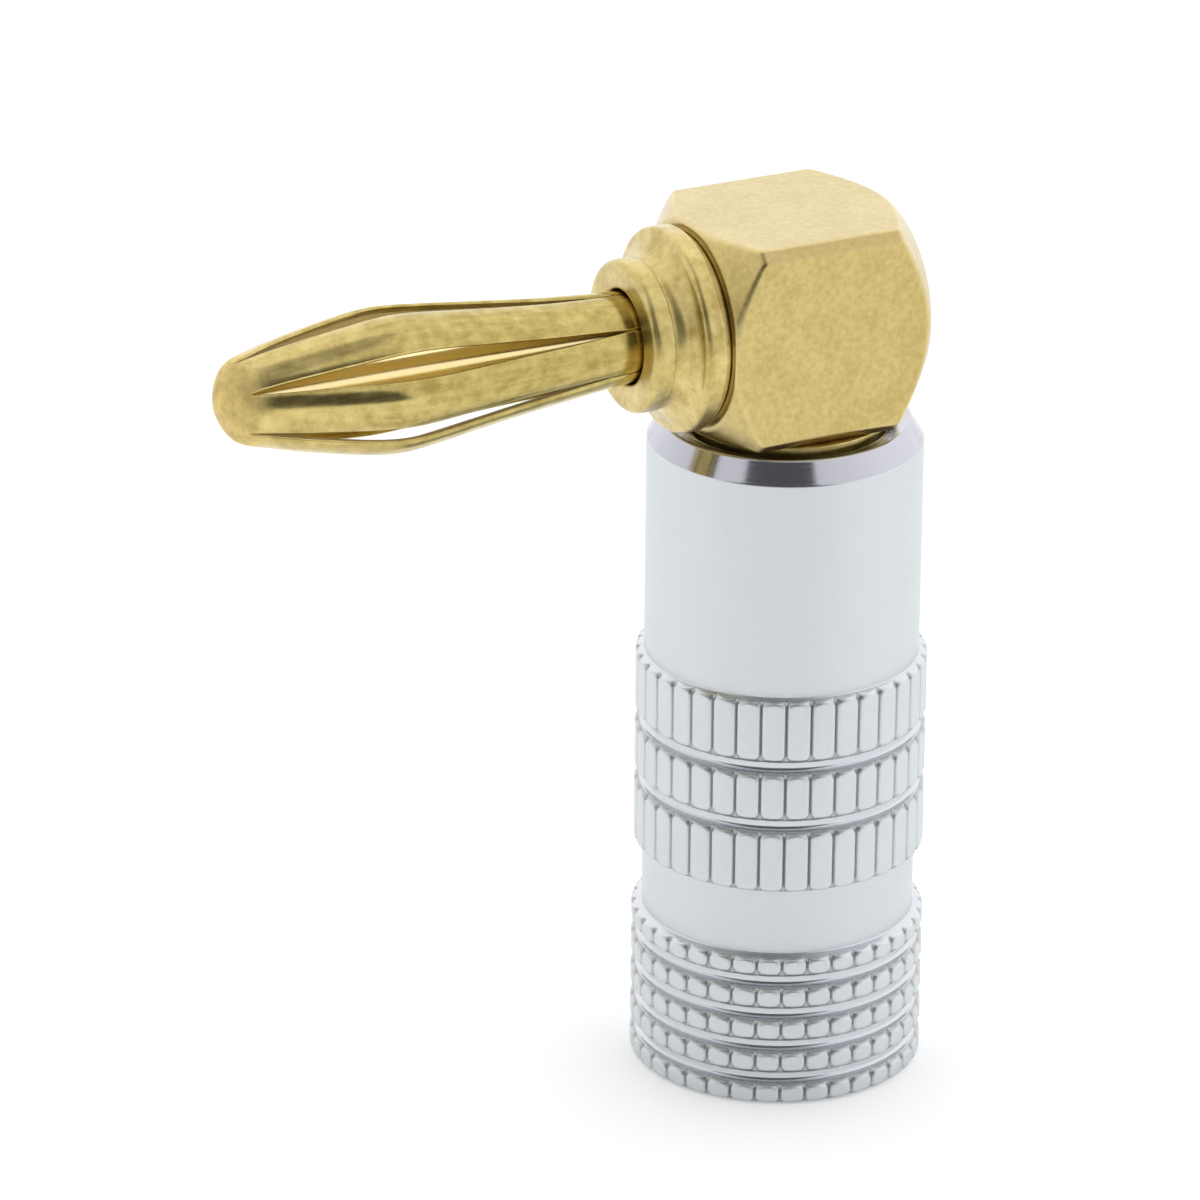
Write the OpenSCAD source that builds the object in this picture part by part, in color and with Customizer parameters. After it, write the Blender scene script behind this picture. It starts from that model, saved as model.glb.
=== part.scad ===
// Right-angle banana plug for loudspeaker cable.
// The sleeve stands on its cable end with its axis on Z, and the contact pin points along -X.
// The origin is the centre of the cable hole, on the end face of the sleeve.

/* [Sleeve outside] */
// Diameter of the plain upper part of the sleeve
sleeve_d = 10; // [9.6:0.1:10.4]
// Height of the sleeve from its cable end to its top face
sleeve_len = 25; // [24:0.5:30]
// Radial width of the bright chamfer at the top
rim_chamfer_w = 0.52; // [0.2:0.02:0.7]
// Height of the bright chamfer at the top
rim_chamfer_h = 0.82; // [0.4:0.02:1.6]
// Diameter of the knurled foot ring
foot_d = 10.7; // [10.6:0.1:11.4]
// Height of the knurled foot ring
foot_len = 5.9; // [5:0.1:7]
// Diameter of the plain neck between the two knurled rings
neck_d = 9.95; // [9.5:0.05:10]
// Height of the plain neck
neck_len = 2.5; // [1.5:0.1:3.5]
// How much smaller the knurled grip ring is than the foot ring, on the diameter
grip_step = 0.1; // [0:0.05:0.2]
// Height of the knurled grip ring
grip_len = 7.6; // [6:0.2:8.6]
// Height of the bevels between the knurled rings and the plain parts
ring_bevel_h = 0.34; // [0.1:0.02:0.4]
// Bevel on the lower edge of the foot ring
foot_bevel = 0.2; // [0.1:0.02:0.3]

/* [Knurling] */
// Teeth around each knurled ring
knurl_teeth = 36; // [24:1:44]
// Depth of the knurl grooves below the foot ring
knurl_depth = 0.29; // [0.15:0.01:0.3]
// Width of a knurl groove where it meets the foot ring
knurl_groove_w = 0.3; // [0.2:0.02:0.4]
// Grooves turned around the grip ring
grip_grooves = 2; // [1:1:3]
// Spacing of the grooves turned around the grip ring
grip_groove_pitch = 2.3; // [1.5:0.1:2.6]
// Grooves turned around the foot ring
foot_grooves = 4; // [1:1:4]
// Spacing of the grooves turned around the foot ring
foot_groove_pitch = 1.29; // [0.9:0.03:1.4]
// Width of a turned groove at the surface
ring_groove_w = 0.6; // [0.3:0.05:0.7]
// Depth of a turned groove
ring_groove_depth = 0.3; // [0.1:0.02:0.4]

/* [Sleeve inside] */
// Diameter of the hole for the cable
cable_hole_d = 5.5; // [4:0.1:6.5]
// Thickness of the end wall around the cable hole
end_wall = 3; // [1.5:0.5:4]
// Diameter of the hollow between the end wall and the thread
hollow_d = 8.4; // [7.8:0.1:8.8]
// Mean diameter of the internal thread
thread_d = 7.4; // [7.2:0.1:7.6]
// Length of the internal thread
thread_len = 6; // [4:0.5:8]
// Clearance between the two threads, on the radius
thread_clearance = 0.05; // [0.02:0.01:0.1]

/* [Angle block] */
// Side of the square bar
block_side = 7.64; // [7:0.1:8.4]
// Length of the block along the pin
block_len = 8; // [7.6:0.1:9]
// Chamfer along the four long edges of the bar
bar_chamfer = 0.36; // [0.1:0.02:0.5]
// Gap between the sleeve's top face and the underside of the block
seat_gap = 0.2; // [0.1:0.05:0.5]
// Slope of the turned corner chamfers, from the end faces
corner_slope = 39; // [30:1:45]
// Diameter of the turned face at the rear end
rear_face_d = 6.9; // [6:0.1:7]

/* [Pin collar] */
// Diameter of the front lip
lip_d = 5.56; // [5:0.1:6]
// Length of the front lip
lip_len = 0.85; // [0.7:0.05:1.2]
// Radius on the outer edge of the front lip
lip_round = 0.32; // [0.1:0.02:0.4]
// Length of the cove between the lip and the shoulder
cove_len = 0.55; // [0.3:0.05:0.8]
// Depth of the cove below the lip
cove_depth = 0.2; // [0.1:0.05:0.3]
// Diameter of the shoulder
shoulder_d = 7.46; // [6.8:0.1:7.6]
// Length of the shoulder
shoulder_len = 0.8; // [0.6:0.05:1.2]
// Radius on the front edge of the shoulder
shoulder_round = 0.3; // [0.1:0.02:0.4]
// Length of the neck between the shoulder and the block
seam_len = 0.3; // [0.1:0.05:0.6]
// Depth of that neck below the shoulder
seam_depth = 0.32; // [0.1:0.02:0.5]
// Diameter of the bore that takes the spring
collar_bore_d = 3.8; // [3.7:0.1:4.2]
// Depth of the bore that takes the spring
collar_bore_depth = 2; // [1.4:0.1:2.4]
// Diameter of the spigot pressed into the block
collar_spigot_d = 4; // [3:0.2:4.4]
// Length of the spigot pressed into the block
collar_spigot_len = 1.8; // [1.2:0.1:1.9]

/* [Contact spring] */
// Leaves around the spring
leaf_count = 6; // [4:1:8]
// Thickness of the spring sheet
leaf_t = 0.3; // [0.2:0.02:0.4]
// Length of the spring outside the collar
spring_len = 15.8; // [14:0.2:20]
// Radius of the leaves at the mouth of the collar
leaf_root_r = 1.72; // [1.6:0.02:1.8]
// Radius at which the two flanks of a leaf would cross
leaf_bulge_r = 2.75; // [2.2:0.05:3]
// Gap between the free ends of the leaves and the bottom of the collar's bore
leaf_end_gap = 0.3; // [0.1:0.05:0.6]
// Radius of the leaves where the nose starts
nose_r = 1.98; // [1.7:0.02:2.1]
// Length of the rounded nose
nose_len = 2.6; // [2.2:0.1:3.2]
// Thickness of the nose in front of the core pin
nose_wall = 0.9; // [0.5:0.1:1]
// Length of the nose that the slots leave whole
nose_cap = 1.3; // [1:0.1:1.8]
// Distance from the crossing of the flanks to the start of the nose
bulge_to_nose = 3.8; // [3:0.1:5]
// Rounding of the bulge, as the drop below the crossing of the flanks
bulge_drop = 0.1; // [0.04:0.01:0.2]
// Widest opening between two leaves
slot_w = 0.8; // [0.5:0.05:1.2]
// Distance from the widest opening to the start of the nose
slot_wide_to_nose = 4; // [2.5:0.1:5]
// Opening between two leaves at each end of the slot
slot_end_w = 0.1; // [0.05:0.01:0.3]
// Turn of the slots about the pin, from the top
slot_turn = 0; // [0:0.5:60]

/* [Core pin] */
// Diameter of the core pin
core_d = 2; // [1.2:0.1:2.2]
// Depth of the core pin in the collar's spigot
core_seat = 1.2; // [0.6:0.1:1.4]
// Clearance around a piece pressed into its hole, on the radius
press_clearance = 0.01; // [0.005:0.005:0.03]

/* [Terminal post] */
// Diameter of the post below its thread
post_d = 6.6; // [6:0.1:6.8]
// Space between the end wall of the sleeve and the post
post_gap = 3; // [1.5:0.5:5]
// How far the flange of the post reaches over the top face of the sleeve
flange_seat = 0.11; // [0.08:0.01:0.4]
// Diameter of the spigot pressed into the block
post_spigot_d = 3.8; // [3:0.2:4]
// Length of the spigot pressed into the block
post_spigot_len = 1.6; // [1:0.1:1.7]
// Diameter of the hole for the bare wire
wire_hole_d = 3.5; // [2.5:0.1:3.8]
// Depth of the hole for the bare wire
wire_hole_depth = 11; // [10:0.5:14]

/* [Set screws] */
// Diameter of the set screws
screw_d = 3; // [2:0.1:3]
// Clearance between a set screw and its hole, on the radius
screw_clearance = 0.03; // [0.01:0.01:0.05]
// Distance from the end of the post to the first screw
screw_offset = 2.6; // [2:0.1:3]
// Spacing of the two screws
screw_pitch = 4.4; // [4:0.1:5]
// How far a backed-out screw lies below the surface of the post
screw_sink = 0.1; // [0:0.05:0.3]
// How far a backed-out screw's tip lies from the wire hole
screw_tip_gap = 0.05; // [0.02:0.01:0.2]
// Size across the flats of the hexagon socket
socket_af = 1.5; // [1:0.1:1.6]
// Depth of the hexagon socket
socket_depth = 0.8; // [0.4:0.1:0.9]

/* [Hidden] */
gold = "#d3b95c";
satin_silver = "#d6dde0";
screw_steel = "#8d9196";
round_fn = 96;
fine_fn = 48;
eps = 0.1;

// Rings and levels on the sleeve
grip_d = foot_d - grip_step;
knurl_root_r = foot_d / 2 - knurl_depth;
grip_bottom = foot_len + neck_len;
grip_top = grip_bottom + grip_len;
thread_bottom = sleeve_len - thread_len;

// Levels of the block and of the pin axis
block_bottom = sleeve_len + seat_gap;
pin_z = block_bottom + block_side / 2;
block_end = block_len / 2;
cone_r = block_side / sqrt(2) + eps;
front_corner_s = block_end - (cone_r - block_side / 2) * tan(corner_slope);
rear_corner_s = block_end - (cone_r - rear_face_d / 2) * tan(corner_slope);

// Stations of the collar and of the spring, as distances from the sleeve axis along the pin
seam_s = block_end + seam_len;
shoulder_s = seam_s + shoulder_len;
cove_s = shoulder_s + cove_len;
lip_s = cove_s + lip_len;
bore_bottom_s = lip_s - collar_bore_depth;
spring_tip_s = lip_s + spring_len;
nose_s = spring_tip_s - nose_len;
bulge_s = nose_s - bulge_to_nose;
leaf_end_s = bore_bottom_s + leaf_end_gap;
core_end_s = spring_tip_s - nose_wall;
core_start_s = block_end - core_seat;
slot_tip_s = spring_tip_s - nose_cap;
slot_wide_s = nose_s - slot_wide_to_nose;
leaf_pitch = 360 / leaf_count;

// Flange, levels of the post and of its screws
flange_d = thread_d + 2 * flange_seat;
post_bottom = end_wall + post_gap;
wire_hole_top = post_bottom + wire_hole_depth;
screw_levels = [post_bottom + screw_offset, post_bottom + screw_offset + screw_pitch];
screw_outer = post_d / 2 - screw_sink;
screw_inner = wire_hole_d / 2 + screw_tip_gap;
drill_point_angle = 118;
drill_point_h = wire_hole_d / 2 / tan(drill_point_angle / 2);

// Points of a quarter round from angle a0 to angle a1 about centre c
function quarter_round(c, r, a0, a1, steps = 8) =
    [for (i = [0 : steps]) let (a = a0 + (a1 - a0) * i / steps) [c[0] + r * cos(a), c[1] + r * sin(a)]];

// Three points of a V groove turned into a ring of radius r, read upwards
function groove_points(r, level) =
    [[r, level - ring_groove_w / 2], [r - ring_groove_depth, level], [r, level + ring_groove_w / 2]];

// All grooves of one ring, centred on the ring's height
function ring_points(r, mid, count, pitch) =
    [for (i = [0 : count - 1]) each groove_points(r, mid + (i - (count - 1) / 2) * pitch)];

// Outer radius of a leaf: two straight flanks that a hyperbola joins at the bulge
function rear_flank(s) = leaf_root_r + (leaf_bulge_r - leaf_root_r) * (s - lip_s) / (bulge_s - lip_s);
function front_flank(s) = leaf_bulge_r + (nose_r - leaf_bulge_r) * (s - bulge_s) / bulge_to_nose;
function leaf_r(s) =
    let (a = rear_flank(s), b = front_flank(s))
    s < lip_s ? leaf_root_r : (a + b - sqrt((a - b) * (a - b) + 4 * bulge_drop * bulge_drop)) / 2;

// Opening between two leaves: a parabola at the nose, then a slow taper back to the free ends
function slot_opening(s) =
    let (t = (slot_tip_s - s) / (slot_tip_s - slot_wide_s),
         u = (s - leaf_end_s) / (slot_wide_s - leaf_end_s))
    slot_end_w + (slot_w - slot_end_w) * (s > slot_wide_s ? 1 - (1 - t) * (1 - t) : u * sin(90 * u));

// Places a shape built on +Z along the pin: +Z becomes -X at the height of the pin axis
module along_pin() {
    translate([0, 0, pin_z])
        rotate([0, -90, 0])
            children();
}

// Places a shape built on +Z so that it points outwards from the post, towards -Y, at a given level
module across_post(level) {
    translate([0, 0, level])
        rotate([90, 0, 0])
            children();
}

module sleeve_outline() {
    foot_r = foot_d / 2;
    neck_r = neck_d / 2;
    grip_r = grip_d / 2;
    sleeve_r = sleeve_d / 2;
    polygon(concat(
        [[0, 0], [foot_r - foot_bevel, 0], [foot_r, foot_bevel]],
        ring_points(foot_r, foot_len / 2, foot_grooves, foot_groove_pitch),
        [[foot_r, foot_len - ring_bevel_h], [neck_r, foot_len],
         [neck_r, grip_bottom], [grip_r, grip_bottom + ring_bevel_h]],
        ring_points(grip_r, grip_bottom + grip_len / 2, grip_grooves, grip_groove_pitch),
        [[grip_r, grip_top - ring_bevel_h], [sleeve_r, grip_top], [sleeve_r, sleeve_len - rim_chamfer_h],
         [sleeve_r - rim_chamfer_w, sleeve_len], [0, sleeve_len]]));
}

// One knurl groove, cut through both knurled rings in a single pass
module knurl_groove() {
    flare = knurl_groove_w / 2 / knurl_depth;
    outer_r = foot_d / 2 + eps;
    half_w = flare * (knurl_depth + eps);
    translate([0, 0, -eps])
        linear_extrude(height = grip_top + 2 * eps)
            polygon([[knurl_root_r, 0], [outer_r, -half_w], [outer_r, half_w]]);
}

module outer_sleeve() {
    color(satin_silver)
        difference() {
            rotate_extrude($fn = round_fn)
                sleeve_outline();
            for (i = [0 : knurl_teeth - 1])
                rotate([0, 0, (i + 0.5) * 360 / knurl_teeth])
                    knurl_groove();
            translate([0, 0, -eps])
                cylinder(d = cable_hole_d, h = end_wall + 2 * eps, $fn = round_fn);
            translate([0, 0, end_wall])
                cylinder(d = hollow_d, h = thread_bottom - end_wall, $fn = round_fn);
            translate([0, 0, thread_bottom - eps])
                cylinder(d = thread_d, h = thread_len + 2 * eps, $fn = round_fn);
        }
}

module terminal_post() {
    thread_r = thread_d / 2 - thread_clearance;
    spigot_r = post_spigot_d / 2 - press_clearance;
    wire_r = wire_hole_d / 2;
    color(gold)
        difference() {
            rotate_extrude($fn = round_fn)
                polygon([[0, post_bottom], [post_d / 2, post_bottom], [post_d / 2, thread_bottom],
                         [thread_r, thread_bottom], [thread_r, sleeve_len], [flange_d / 2, sleeve_len],
                         [flange_d / 2, block_bottom], [spigot_r, block_bottom],
                         [spigot_r, block_bottom + post_spigot_len], [0, block_bottom + post_spigot_len]]);
            translate([0, 0, post_bottom - eps])
                cylinder(r = wire_r, h = wire_hole_depth + eps, $fn = round_fn);
            translate([0, 0, wire_hole_top])
                cylinder(r1 = wire_r, r2 = 0, h = drill_point_h, $fn = round_fn);
            for (level = screw_levels)
                across_post(level)
                    cylinder(d = screw_d + 2 * screw_clearance, h = post_d, $fn = fine_fn);
        }
}

// Socket set screw, backed out until its tip is clear of the wire hole
module set_screw(level) {
    color(screw_steel)
        across_post(level)
            difference() {
                translate([0, 0, screw_inner])
                    cylinder(d = screw_d, h = screw_outer - screw_inner, $fn = fine_fn);
                translate([0, 0, screw_outer - socket_depth])
                    cylinder(d = socket_af / cos(30), h = socket_depth + eps, $fn = 6);
            }
}

module set_screw_lower() {
    set_screw(screw_levels[0]);
}

module set_screw_upper() {
    set_screw(screw_levels[1]);
}

// Section of the square bar with its chamfered edges
module bar_section() {
    half = block_side / 2;
    near = half - bar_chamfer;
    polygon([[near, -half], [half, -near], [half, near], [near, half],
             [-near, half], [-half, near], [-half, -near], [-near, -half]]);
}

// Chamfered square bar whose corners are turned off to a cone at each end
module angle_block() {
    color(gold)
        difference() {
            along_pin()
                intersection() {
                    translate([0, 0, -block_end])
                        linear_extrude(height = block_len)
                            bar_section();
                    rotate_extrude($fn = round_fn)
                        polygon([[0, -block_end], [rear_face_d / 2, -block_end], [cone_r, -rear_corner_s],
                                 [cone_r, front_corner_s], [block_side / 2, block_end], [0, block_end]]);
                }
            along_pin()
                translate([0, 0, block_end - collar_spigot_len])
                    cylinder(d = collar_spigot_d, h = collar_spigot_len + eps, $fn = round_fn);
            translate([0, 0, block_bottom - eps])
                cylinder(d = post_spigot_d, h = post_spigot_len + eps, $fn = round_fn);
        }
}

module collar_outline() {
    lip_r = lip_d / 2;
    shoulder_r = shoulder_d / 2;
    cove_r = lip_r - cove_depth;
    seam_r = shoulder_r - seam_depth;
    spigot_r = collar_spigot_d / 2 - press_clearance;
    bore_r = collar_bore_d / 2;
    bore_round = (lip_r - bore_r) - lip_round;
    polygon(concat(
        [[0, block_end - collar_spigot_len], [spigot_r, block_end - collar_spigot_len],
         [spigot_r, block_end], [seam_r, block_end], [seam_r, seam_s], [shoulder_r, seam_s]],
        quarter_round([shoulder_r - shoulder_round, shoulder_s - shoulder_round], shoulder_round, 0, 90),
        quarter_round([cove_r + cove_len, shoulder_s + cove_len], cove_len, 270, 180),
        [[lip_r, cove_s]],
        quarter_round([lip_r - lip_round, lip_s - lip_round], lip_round, 0, 90),
        quarter_round([bore_r + bore_round, lip_s - bore_round], bore_round, 90, 180),
        [[bore_r, bore_bottom_s], [0, bore_bottom_s]]));
}

module pin_collar() {
    color(gold)
        along_pin()
            difference() {
                rotate_extrude($fn = round_fn)
                    collar_outline();
                translate([0, 0, core_start_s])
                    cylinder(d = core_d, h = lip_s - core_start_s, $fn = fine_fn);
            }
}

module core_pin() {
    core_r = core_d / 2 - press_clearance;
    color(gold)
        along_pin()
            translate([0, 0, core_start_s])
                cylinder(r = core_r, h = core_end_s - core_start_s, $fn = fine_fn);
}

// Wall of the spring before its slots are cut, from the free ends to the closed nose
module spring_outline() {
    stations = concat([leaf_end_s, lip_s],
                      [for (share = [0.3, 0.6, 0.8, 0.92]) lip_s + (bulge_s - lip_s) * share],
                      [for (share = [0, 0.15, 0.4, 1]) bulge_s + (nose_s - bulge_s) * share]);
    last = len(stations) - 1;
    nose_angles = [for (i = [1 : 6]) 90 * i / 6];
    inner_r = leaf_r(nose_s) - leaf_t;
    polygon(concat(
        [for (s = stations) [leaf_r(s), s]],
        [for (a = nose_angles) [leaf_r(nose_s) * cos(a), nose_s + nose_len * sin(a)]],
        [[0, core_end_s], [core_d / 2, core_end_s], [core_d / 2, nose_s + leaf_t], [inner_r, nose_s]],
        [for (i = [last - 1 : -1 : 0]) [leaf_r(stations[i]) - leaf_t, stations[i]]]));
}

// One opening between two leaves, cut outwards along +X
module leaf_slot() {
    inner_r = (core_d / 2 + leaf_root_r - leaf_t) / 2;
    steps = 10;
    stations = [for (i = [0 : steps]) leaf_end_s + (slot_tip_s - leaf_end_s) * i / steps];
    translate([inner_r, 0, 0])
        rotate([90, 0, 90])
            linear_extrude(height = leaf_bulge_r)
                polygon(concat(
                    [[-slot_end_w / 2, leaf_end_s - eps], [slot_end_w / 2, leaf_end_s - eps]],
                    [for (s = stations) [slot_opening(s) / 2, s]],
                    [for (i = [steps : -1 : 0]) [-slot_opening(stations[i]) / 2, stations[i]]]));
}

module contact_spring() {
    color(gold)
        along_pin()
            difference() {
                rotate([0, 0, slot_turn + leaf_pitch / 2])
                    rotate_extrude($fn = round_fn)
                        spring_outline();
                for (i = [0 : leaf_count - 1])
                    rotate([0, 0, slot_turn + i * leaf_pitch])
                        leaf_slot();
            }
}

outer_sleeve();
terminal_post();
set_screw_lower();
set_screw_upper();
angle_block();
pin_collar();
core_pin();
contact_spring();
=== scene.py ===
"""Right-angle banana plug: the finished pieces, their surfaces and a plain studio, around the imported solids.

Sizes are in millimetres and are turned into metres where a mesh is made. The sleeve stands on Z with its
cable end at the origin, and the contact pin points along -X.
"""

import math

import bmesh
import bpy
import numpy as np
from mathutils import Matrix


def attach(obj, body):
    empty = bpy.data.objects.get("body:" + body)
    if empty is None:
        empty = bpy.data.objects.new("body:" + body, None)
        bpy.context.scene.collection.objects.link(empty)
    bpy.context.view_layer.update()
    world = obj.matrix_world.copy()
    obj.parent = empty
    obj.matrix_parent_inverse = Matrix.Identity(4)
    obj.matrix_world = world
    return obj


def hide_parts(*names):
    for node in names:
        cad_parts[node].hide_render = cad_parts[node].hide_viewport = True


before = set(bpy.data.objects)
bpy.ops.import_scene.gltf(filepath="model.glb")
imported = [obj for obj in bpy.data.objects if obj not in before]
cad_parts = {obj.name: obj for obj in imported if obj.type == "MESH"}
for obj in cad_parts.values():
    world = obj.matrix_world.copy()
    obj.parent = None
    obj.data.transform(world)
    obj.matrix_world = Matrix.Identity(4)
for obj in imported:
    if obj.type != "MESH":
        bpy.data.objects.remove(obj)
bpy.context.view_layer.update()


# Terminal post
# A brass post turned on a lathe and gold plated, pressed into the underside of the angle block. The sleeve
# screws on its thread; its lower end is drilled for the bare wire and cross-drilled for the two set screws.

MM = 0.001
POST_BODY_R = 3.3
POST_CORNERS = [  # radius, height, how far the corner is broken
    (0, 26.8, 0), (1.89, 26.8, 0.1), (1.89, 25.2, 0.03), (3.81, 25.2, 0.05), (3.81, 25, 0.05),
    (3.45, 25, 0.03), (3.45, 24.5, 0.03), (3.65, 24.3, 0.03), (3.65, 19.3, 0.03), (POST_BODY_R, 18.95, 0.05),
    (POST_BODY_R, 6, 0.25), (1.75, 6, 0.2), (1.75, 17, 0.05), (0, 18.05, 0)]
POST_THREAD = {"pitch": 0.75, "depth": 0.34, "low": 18.9, "high": 24.6}
CLOSE_FROM, CLOSE_TO = 19, 24.6  # heights between which the mesh is close enough to show the thread
SCREW_LEVELS = (8.6, 13)
SCREW_HOLE_R = 1.53
DRILL_REACH = (0.4, 4.5)  # the two ends of the drill, from the axis of the post
DRILL_COLUMNS = 64
DRILL_TURN = 0.037  # keeps the drill's own lines off the post's


def linear(hex_code):
    """Linear RGBA of an sRGB hex colour: c / 12.92 in the toe, else ((c + 0.055) / 1.055) ^ 2.4."""
    c = np.array([int(hex_code[i:i + 2], 16) for i in (1, 3, 5)]) / 255
    rgb = np.where(c <= 0.04045, c / 12.92, ((c + 0.055) / 1.055) ** 2.4)
    return (*rgb.tolist(), 1.0)


def add_node(tree, kind, inputs=None, **settings):
    """Adds one node. Settings are its own properties, and inputs give each socket a value or the output of
    another node."""
    node = tree.nodes.new(kind)
    for key, value in settings.items():
        setattr(node, key, value)
    for socket, value in (inputs or {}).items():
        if isinstance(value, bpy.types.NodeSocket):
            tree.links.new(value, node.inputs[socket])
        else:
            node.inputs[socket].default_value = value
    return node


def new_material(name):
    """An empty node material and its tree."""
    material = bpy.data.materials.new(name)
    material.use_nodes = True
    material.node_tree.nodes.clear()
    return material, material.node_tree


def with_pits(tree, place, tone, spacing, rim, rarity, depth, colour):
    """A tone with dark pits mixed in, one for each cell of a Voronoi pattern of that spacing in millimetres.
    A pit is full inside the first rim, a distance in cells, and gone at the second. Its depth rises from none
    to the full one as the cell's random value goes from the first rarity to the second."""
    cells = add_node(tree, "ShaderNodeTexVoronoi", {
        "Vector": place.outputs["Object"], "Scale": 1 / (spacing * MM)})
    inside = add_node(tree, "ShaderNodeMapRange", {
        "Value": cells.outputs["Distance"], "From Min": rim[0], "From Max": rim[1],
        "To Min": 1.0, "To Max": 0.0})
    deep = add_node(tree, "ShaderNodeMapRange", {
        "Value": cells.outputs["Color"], "From Min": rarity[0], "From Max": rarity[1],
        "To Min": 0.0, "To Max": depth})
    pitted = add_node(tree, "ShaderNodeMath", {
        0: inside.outputs["Result"], 1: deep.outputs["Result"]}, operation="MULTIPLY")
    return add_node(tree, "ShaderNodeMix", {
        "Factor": pitted.outputs["Value"], "A": tone.outputs["Result"], "B": linear(colour)},
        data_type="RGBA")


def broken_corners(corners, steps=7, margin=0.03):
    """Outline through corners (a, b, cut): each corner becomes the parabola that touches both of its sides at
    the distance cut, B(u) = (1-u)^2 A + 2u(1-u) P + u^2 C, with one more point a margin beyond each end.
    A corner cut by 0.1 or less keeps three points of its parabola, one cut by 0.025 or less keeps only the
    middle point, and the two ends of the outline stay as they are."""
    p = np.array(corners, float)
    points, cut = p[:, :2], p[1:-1, 2:]
    middle = points[1:-1]
    run_in = middle - points[:-2]
    run_out = points[2:] - middle
    run_in /= np.linalg.norm(run_in, axis=1, keepdims=True)
    run_out /= np.linalg.norm(run_out, axis=1, keepdims=True)
    u = np.linspace(0, 1, steps)[None, :, None]
    a, c = middle - cut * run_in, middle + cut * run_out
    rounds = (1 - u) ** 2 * a[:, None] + 2 * u * (1 - u) * middle[:, None] + u ** 2 * c[:, None]
    before, after = (a - margin * run_in)[:, None], (c + margin * run_out)[:, None]
    body = np.concatenate([before, rounds, after], axis=1)
    place = np.arange(-1, steps + 1)
    few = np.isin(place, (-1, 0, steps // 2, steps - 1, steps)) & (cut > 0.025)
    kept = (cut > 0.1) | few | (place == steps // 2)
    return np.concatenate([points[:1], body[kept], points[-1:]])


def closer(outline, step):
    """The same outline with evenly spaced points added, so that no run is longer than its step."""
    run = np.diff(outline, axis=0)
    parts = np.maximum(np.ceil(np.linalg.norm(run, axis=1) / step), 1).astype(int)
    first = np.repeat(np.cumsum(parts) - parts, parts)
    share = (np.arange(parts.sum()) - first) / np.repeat(parts, parts)
    points = np.repeat(outline[:-1], parts, axis=0) + share[:, None] * np.repeat(run, parts, axis=0)
    return np.concatenate([points, outline[-1:]])


def path_length(outline):
    """Distance along an outline from its first point to each point."""
    return np.concatenate([[0], np.cumsum(np.linalg.norm(np.diff(outline, axis=0), axis=1))])


def full_turn(columns):
    """Angles of evenly spaced columns once around: 2 pi k / columns."""
    return np.linspace(0, 2 * np.pi, columns, endpoint=False)


def grid_faces(rows, columns, closed=True):
    """Quads between neighbouring rows and columns of a grid; closed joins the last column to the first."""
    i, j = np.meshgrid(np.arange(rows - 1), np.arange(columns if closed else columns - 1), indexing="ij")
    k = (j + 1) % columns
    row, next_row = i * columns, (i + 1) * columns
    return np.stack([row + j, row + k, next_row + k, next_row + j], -1).reshape(-1, 4)


def around_z(radius, angle, height):
    """Points at radius (cos, sin) of the angle and at a height on Z."""
    radius, angle, height = np.broadcast_arrays(radius, angle, height)
    return np.stack([radius * np.cos(angle), radius * np.sin(angle), height], -1).reshape(-1, 3)


def thread_cut(angle, height, pitch, depth, low, high):
    """Depth of a V thread below its crest: a triangle wave of height / pitch - angle / turn, flat at crest
    and root, that fades out over half a pitch at both ends."""
    wave = np.abs(2 * ((height / pitch - angle / (2 * np.pi)) % 1) - 1)
    fade = np.clip(np.minimum(height - low, high - height) / (0.5 * pitch), 0, 1)
    return depth * fade * np.clip(1.25 - 1.5 * wave, 0, 1)


def add_piece(name, points, faces, material, body, slot, replaced, sharp=35, **marks):
    """Mesh object from points in millimetres: poles and seams merged, faces outwards, smooth below the sharp
    angle, with each mark stored as a value at the points. It rides on a body and stands for a CAD node."""
    mesh = bpy.data.meshes.new(name)
    mesh.from_pydata((points * MM).tolist(), [], faces.tolist())
    for key, values in marks.items():
        mark = mesh.attributes.new(key, "FLOAT", "POINT")
        mark.data.foreach_set("value", np.ascontiguousarray(values, np.float32).ravel())
    shell = bmesh.new()
    shell.from_mesh(mesh)
    bmesh.ops.remove_doubles(shell, verts=shell.verts, dist=1e-4 * MM)
    if shell.calc_volume(signed=True) < 0:
        bmesh.ops.reverse_faces(shell, faces=shell.faces)
    shell.to_mesh(mesh)
    shell.free()
    mesh.shade_smooth()
    mesh.set_sharp_from_angle(angle=math.radians(sharp))
    mesh.materials.append(material)
    piece = bpy.data.objects.new(name, mesh)
    bpy.context.scene.collection.objects.link(piece)
    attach(piece, body)
    if replaced:
        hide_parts(replaced)
    return piece


def apply_modifiers(piece):
    """Puts the mesh that a piece's modifiers make in place of its first one."""
    finished = bpy.data.meshes.new_from_object(piece.evaluated_get(bpy.context.evaluated_depsgraph_get()))
    piece.modifiers.clear()
    piece.data = finished


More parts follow.
